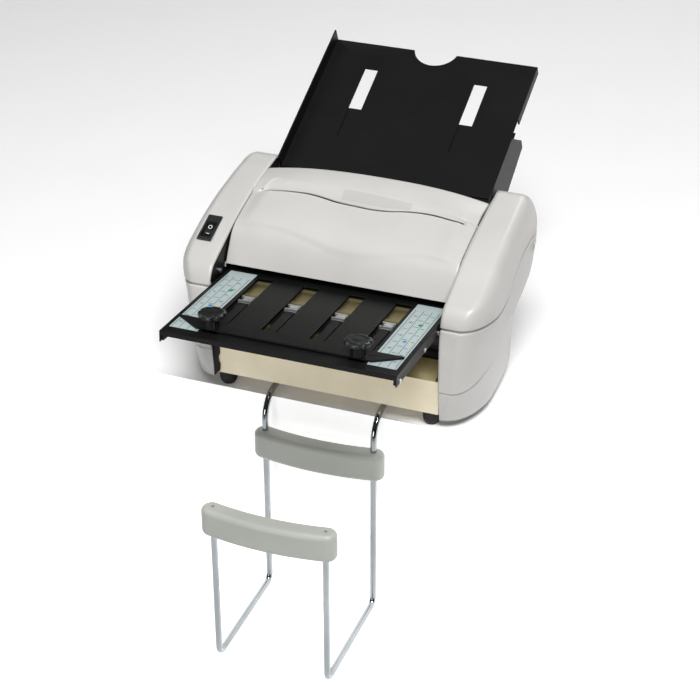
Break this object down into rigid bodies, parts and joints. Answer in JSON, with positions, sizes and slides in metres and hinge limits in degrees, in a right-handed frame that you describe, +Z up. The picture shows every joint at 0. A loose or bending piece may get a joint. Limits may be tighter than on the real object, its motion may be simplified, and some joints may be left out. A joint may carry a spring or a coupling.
{
  "type": "paper folding machine",
  "caption": "Desktop folding machine with rounded side covers, a domed hood, slotted fold plates, a sloping feed tray and a wire catcher that hangs below the table's edge.",
  "frame": {"origin": "on the table top, half way across the machine, under the outside of its front panel", "axes": "+Z up, +Y from the machine's front to its back (front fold plate to feed tray), +X to the right seen from the front"},
  "size_m": [0.322, 0.4931, 0.4747],
  "materials": {
    "cover_plastic": "satin, light warm grey",
    "bar_plastic": "satin, light grey",
    "cream_zinc": "pale cream, satin",
    "black_steel": "black powder coat, fine grain",
    "black_plastic": "black, low sheen",
    "rocker_plastic": "black with white marks",
    "gear_plastic": "off-white",
    "black_rubber": "matt",
    "roller_rubber": "dark grey, matt",
    "bright_zinc": "zinc plated",
    "gold_zinc": "yellow passivated zinc",
    "bronze": "sintered bronze",
    "motor_steel": "dark grey",
    "board": "green laminate",
    "scale_paper": "pale blue-grey with printed scale",
    "chrome": "bright, smooth bends"
  },
  "bodies": {
    "machine": {"base_pan": "cream_zinc", "rubber_feet": "black_rubber", "foot_screws": "bright_zinc", "left_frame": "black_steel", "right_frame": "black_steel", "tie_bars": "bright_zinc", "left_cover": "cover_plastic", "right_cover": "cover_plastic", "cover_screws": "bright_zinc", "hood": "cover_plastic", "rear_cover": "black_steel", "power_inlet": "black_plastic", "rod_sockets": "bright_zinc", "roller_bushes": "bronze", "motor": "motor_steel", "motor_belt": "black_rubber", "feed_belt": "black_rubber", "circuit_board": "board", "feed_guide": "gold_zinc", "manual_guide": "gold_zinc", "exit_chute": "gold_zinc", "separator_pad": "roller_rubber", "plate_rails": "bright_zinc", "feed_tray": "black_steel", "switch_bezel": "black_plastic"},
    "main_roller": {"main_roller_core": "bright_zinc", "main_roller_sleeve": "roller_rubber", "main_gear": "gear_plastic", "main_pulley": "black_plastic"},
    "upper_roller": {"upper_roller_core": "bright_zinc", "upper_roller_sleeve": "roller_rubber", "upper_gear": "gear_plastic"},
    "lower_roller": {"lower_roller_core": "bright_zinc", "lower_roller_sleeve": "roller_rubber", "lower_gear": "gear_plastic"},
    "exit_roller": {"exit_roller_core": "bright_zinc", "exit_roller_sleeve": "roller_rubber", "exit_gear": "gear_plastic"},
    "feed_roller": {"feed_shaft": "bright_zinc", "feed_tyres": "roller_rubber", "feed_pulley": "black_plastic"},
    "motor_rotor": {"motor_shaft": "bright_zinc", "motor_pulley": "black_plastic"},
    "rocker": {"switch_rocker": "rocker_plastic"},
    "front_plate": {"fold_plate_top": "black_steel", "fold_plate_bottom": "gold_zinc", "plate_screws": "bright_zinc", "scale_labels": "scale_paper"},
    "front_stop": {"stop_bar": "black_steel", "stop_carrier": "bright_zinc"},
    "left_knob": {"left_stop_knob": "black_plastic"},
    "right_knob": {"right_stop_knob": "black_plastic"},
    "rear_plate": {"rear_fold_plate": "black_steel"},
    "rear_plate_stop": {"rear_stop": "bright_zinc"},
    "rear_knob": {"rear_stop_knob": "black_plastic"},
    "extension": {"tray_extension": "black_steel"},
    "catcher": {"left_rod": "chrome", "right_rod": "chrome", "rear_bar": "bar_plastic", "front_bar": "bar_plastic"}
  },
  "joints": [
    {"name": "main_roller_spin", "type": "hinge", "parent": "machine", "child": "main_roller", "pos_m": [0, 0.0507, 0.0981], "axis": [1, 0, 0], "continuous": true},
    {"name": "upper_roller_spin", "type": "hinge", "parent": "machine", "child": "upper_roller", "pos_m": [0, 0.05321, 0.12297], "axis": [1, 0, 0], "continuous": true},
    {"name": "lower_roller_spin", "type": "hinge", "parent": "machine", "child": "lower_roller", "pos_m": [0, 0.0455, 0.07365], "axis": [1, 0, 0], "continuous": true},
    {"name": "exit_roller_spin", "type": "hinge", "parent": "machine", "child": "exit_roller", "pos_m": [0, 0.0455, 0.04865], "axis": [1, 0, 0], "continuous": true},
    {"name": "feed_roller_spin", "type": "hinge", "parent": "machine", "child": "feed_roller", "pos_m": [0, 0.1171, 0.1316], "axis": [1, 0, 0], "continuous": true},
    {"name": "motor_spin", "type": "hinge", "parent": "machine", "child": "motor_rotor", "pos_m": [0, 0.126, 0.097], "axis": [1, 0, 0], "continuous": true},
    {"name": "rocker_tip", "type": "hinge", "parent": "machine", "child": "rocker", "pos_m": [-0.138, 0.04503, 0.14635], "axis": [1, 0, 0], "range_deg": [-16, 0]},
    {"name": "front_plate_slide", "type": "slide", "parent": "machine", "child": "front_plate", "axis": [0, -0.995, 0.1004], "range_m": [0, 0.15]},
    {"name": "front_stop_slide", "type": "slide", "parent": "front_plate", "child": "front_stop", "axis": [0, 0.995, -0.1004], "range_m": [-0.003, 0.044]},
    {"name": "left_knob_turn", "type": "hinge", "parent": "front_stop", "child": "left_knob", "pos_m": [-0.0714, -0.0991, 0.12599], "axis": [0, 0.1004, 0.995], "continuous": true},
    {"name": "right_knob_turn", "type": "hinge", "parent": "front_stop", "child": "right_knob", "pos_m": [0.0714, -0.0991, 0.12599], "axis": [0, 0.1004, 0.995], "continuous": true},
    {"name": "rear_plate_slide", "type": "slide", "parent": "machine", "child": "rear_plate", "axis": [0, 0.9781, -0.2079], "range_m": [0, 0.08]},
    {"name": "rear_stop_slide", "type": "slide", "parent": "rear_plate", "child": "rear_plate_stop", "axis": [0, 0.9781, -0.2079], "range_m": [-0.03, 0.014]},
    {"name": "rear_knob_turn", "type": "hinge", "parent": "rear_plate_stop", "child": "rear_knob", "pos_m": [0, 0.20294, 0.05289], "axis": [0, 0.2079, 0.9781], "continuous": true},
    {"name": "extension_slide", "type": "slide", "parent": "machine", "child": "extension", "axis": [0, 0.9092, 0.4163], "range_m": [0, 0.09]},
    {"name": "catcher_slide", "type": "slide", "parent": "machine", "child": "catcher", "axis": [0, -1, 0], "range_m": [0, 0.08]}
  ],
  "couplings": [
    {"joint": "upper_roller_spin", "follows": "main_roller_spin", "ratio": -1},
    {"joint": "lower_roller_spin", "follows": "main_roller_spin", "ratio": -1},
    {"joint": "exit_roller_spin", "follows": "main_roller_spin", "ratio": 1},
    {"joint": "feed_roller_spin", "follows": "main_roller_spin", "ratio": 1},
    {"joint": "motor_spin", "follows": "main_roller_spin", "ratio": 2.4286}
  ]
}
